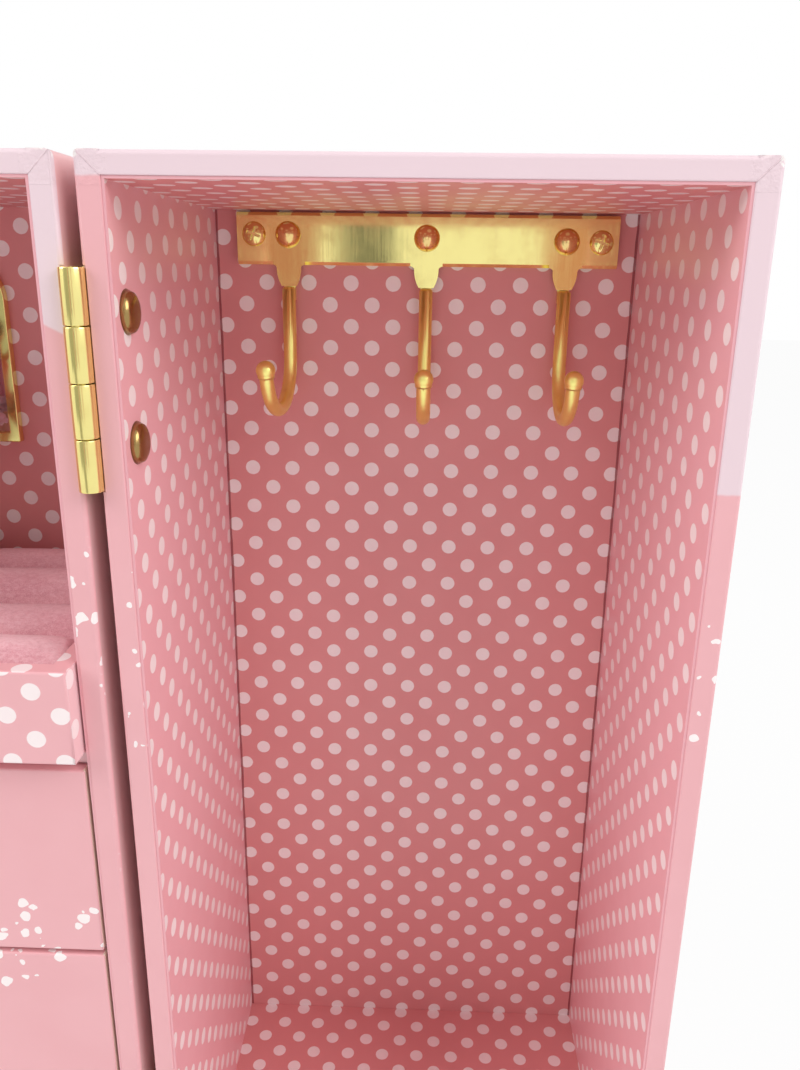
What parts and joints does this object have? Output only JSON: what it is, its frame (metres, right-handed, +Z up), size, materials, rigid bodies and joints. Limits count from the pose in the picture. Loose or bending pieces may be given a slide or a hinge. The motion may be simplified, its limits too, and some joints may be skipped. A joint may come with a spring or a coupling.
{
  "type": "ballerina jewellery box",
  "caption": "Upright two-part musical jewellery box: one half with turning dancer, ring tray and drawers, the other an open wardrobe with a hook rail.",
  "frame": {"origin": "centre of the underside of the main half, the one with the drawers", "axes": "+Z up, -Y the open fronts of both halves at rest, +X from the main half to the opened wardrobe half"},
  "size_m": [0.2175, 0.1075, 0.24],
  "materials": {
    "wrap_board": "printed paper wrapped on board",
    "dotted_paper": "dotted lining paper",
    "velvet": "short-pile velvet",
    "gold_hardware": "bright lacquered brass",
    "dark_brass": "burnished brass",
    "steel": "plated steel",
    "movement_brass": "turned brass",
    "magnet": "nickel-plated magnet",
    "mirror_slot": "silvered glass",
    "figure_plastic": "moulded and painted",
    "tulle": "stiff gathered net"
  },
  "bodies": {
    "main": {"main_case": "wrap_board", "main_side_lining": "dotted_paper", "main_back_lining": "dotted_paper", "ring_shelf": "wrap_board", "drawer_divider_upper": "wrap_board", "drawer_divider_lower": "wrap_board", "movement_cover": "dotted_paper", "main_magnets": "magnet", "mirror_frame": "gold_hardware", "mirror_glass": "mirror_slot", "hinge_leaves_main": "gold_hardware", "hinge_pins": "gold_hardware", "hinge_rivets_main": "dark_brass", "movement_bedplate": "steel", "lower_bridge": "steel", "top_bridge": "steel", "music_comb": "steel", "comb_screws": "steel", "movement_screws": "steel", "governor_bracket": "steel", "post_sleeve": "gold_hardware"},
    "wardrobe": {"wardrobe_case": "wrap_board", "wardrobe_side_lining": "dotted_paper", "wardrobe_back_lining": "dotted_paper", "wardrobe_magnets": "magnet", "hinge_leaves_door": "gold_hardware", "hinge_rivets_door": "dark_brass", "hook_rail": "gold_hardware", "hooks": "gold_hardware", "hook_rivets": "dark_brass", "rail_screws": "dark_brass"},
    "tray": {"ring_tray": "dotted_paper", "ring_pad": "velvet", "tray_knob": "gold_hardware"},
    "drawer_top": {"drawer_box_top": "wrap_board", "drawer_front_top": "wrap_board", "drawer_felt_top": "velvet", "drawer_knob_top": "gold_hardware"},
    "drawer_middle": {"drawer_box_middle": "wrap_board", "drawer_front_middle": "wrap_board", "drawer_felt_middle": "velvet", "drawer_knob_middle": "gold_hardware"},
    "drawer_bottom": {"drawer_box_bottom": "wrap_board", "drawer_front_bottom": "wrap_board", "drawer_felt_bottom": "velvet", "drawer_knob_bottom": "gold_hardware"},
    "dancer": {"pinned_cylinder": "movement_brass", "dancer_stand": "gold_hardware", "dancer_figure": "figure_plastic", "dancer_skirt": "tulle"},
    "barrel": {"spring_barrel": "movement_brass"},
    "winder": {"winding_arbor": "steel", "winding_key": "gold_hardware", "barrel_nut": "steel"},
    "governor": {"governor_wheel": "movement_brass"},
    "air_brake": {"governor_worm": "steel"}
  },
  "joints": [
    {"name": "wardrobe_hinge", "type": "hinge", "parent": "main", "child": "wardrobe", "pos_m": [0.05515, -0.0388, 0], "axis": [0, 0, -1], "range_deg": [0, 180]},
    {"name": "tray_slide", "type": "slide", "parent": "main", "child": "tray", "axis": [0, -1, 0], "range_m": [-0.004, 0.04]},
    {"name": "drawer_top_slide", "type": "slide", "parent": "main", "child": "drawer_top", "axis": [0, -1, 0], "range_m": [0, 0.036]},
    {"name": "drawer_middle_slide", "type": "slide", "parent": "main", "child": "drawer_middle", "axis": [0, -1, 0], "range_m": [0, 0.036]},
    {"name": "drawer_bottom_slide", "type": "slide", "parent": "main", "child": "drawer_bottom", "axis": [0, -1, 0], "range_m": [0, 0.056]},
    {"name": "dancer_turn", "type": "hinge", "parent": "main", "child": "dancer", "pos_m": [0, 0.0182, 0], "axis": [0, 0, 1], "continuous": true},
    {"name": "barrel_turn", "type": "hinge", "parent": "main", "child": "barrel", "pos_m": [0, 0, 0.084], "axis": [0, 1, 0], "continuous": true},
    {"name": "governor_turn", "type": "hinge", "parent": "main", "child": "governor", "pos_m": [0.00788, 0.02275, 0], "axis": [0, 0, 1], "continuous": true},
    {"name": "air_brake_turn", "type": "hinge", "parent": "main", "child": "air_brake", "pos_m": [0.01323, 0, 0.121], "axis": [0, 1, 0], "continuous": true},
    {"name": "key_turn", "type": "hinge", "parent": "main", "child": "winder", "pos_m": [0, 0, 0.084], "axis": [0, 1, 0], "continuous": true}
  ],
  "couplings": [
    {"joint": "barrel_turn", "follows": "dancer_turn", "ratio": -0.25},
    {"joint": "governor_turn", "follows": "dancer_turn", "ratio": -5},
    {"joint": "air_brake_turn", "follows": "dancer_turn", "ratio": 80}
  ]
}
